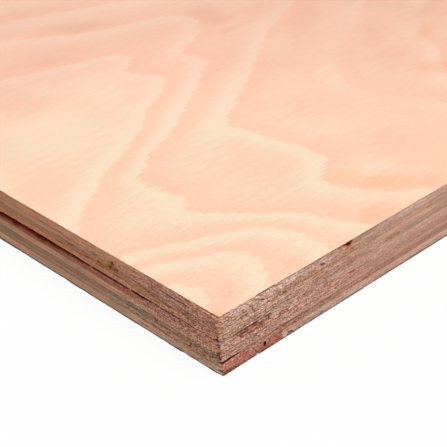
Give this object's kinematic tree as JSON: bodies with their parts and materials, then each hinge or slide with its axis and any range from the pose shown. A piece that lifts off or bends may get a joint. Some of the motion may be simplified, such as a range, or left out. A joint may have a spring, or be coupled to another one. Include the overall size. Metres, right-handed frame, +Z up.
{
  "type": "plywood sheet",
  "caption": "Flat rectangular sheet of cross-laminated wood veneers with square-sawn edges that show every veneer.",
  "frame": {"origin": "under the middle of the sheet, on the plane that it rests on", "axes": "+X along the sheet's length and the grain of the face, +Y across the sheet, +Z up out of the face; the corner with the split and the torn edge is at -X, -Y"},
  "size_m": [2.44, 1.22, 0.018],
  "materials": {
    "face_veneer": "sanded",
    "crossband_1": "sawn edge",
    "long_core_1": "sawn edge",
    "crossband_2": "sawn edge",
    "long_core_2": "sawn edge",
    "crossband_3": "sawn edge",
    "long_core_3": "sawn edge",
    "crossband_4": "sawn edge",
    "long_core_4": "sawn edge",
    "crossband_5_strip": "sawn edge",
    "crossband_5": "sawn edge",
    "back_veneer": "sawn edge"
  },
  "bodies": {
    "root": {"face_veneer": "face_veneer", "crossband_1": "crossband_1", "long_core_1": "long_core_1", "crossband_2": "crossband_2", "long_core_2": "long_core_2", "crossband_3": "crossband_3", "long_core_3": "long_core_3", "crossband_4": "crossband_4", "long_core_4": "long_core_4", "crossband_5_strip": "crossband_5_strip", "crossband_5": "crossband_5", "back_veneer": "back_veneer"}
  },
  "joints": []
}
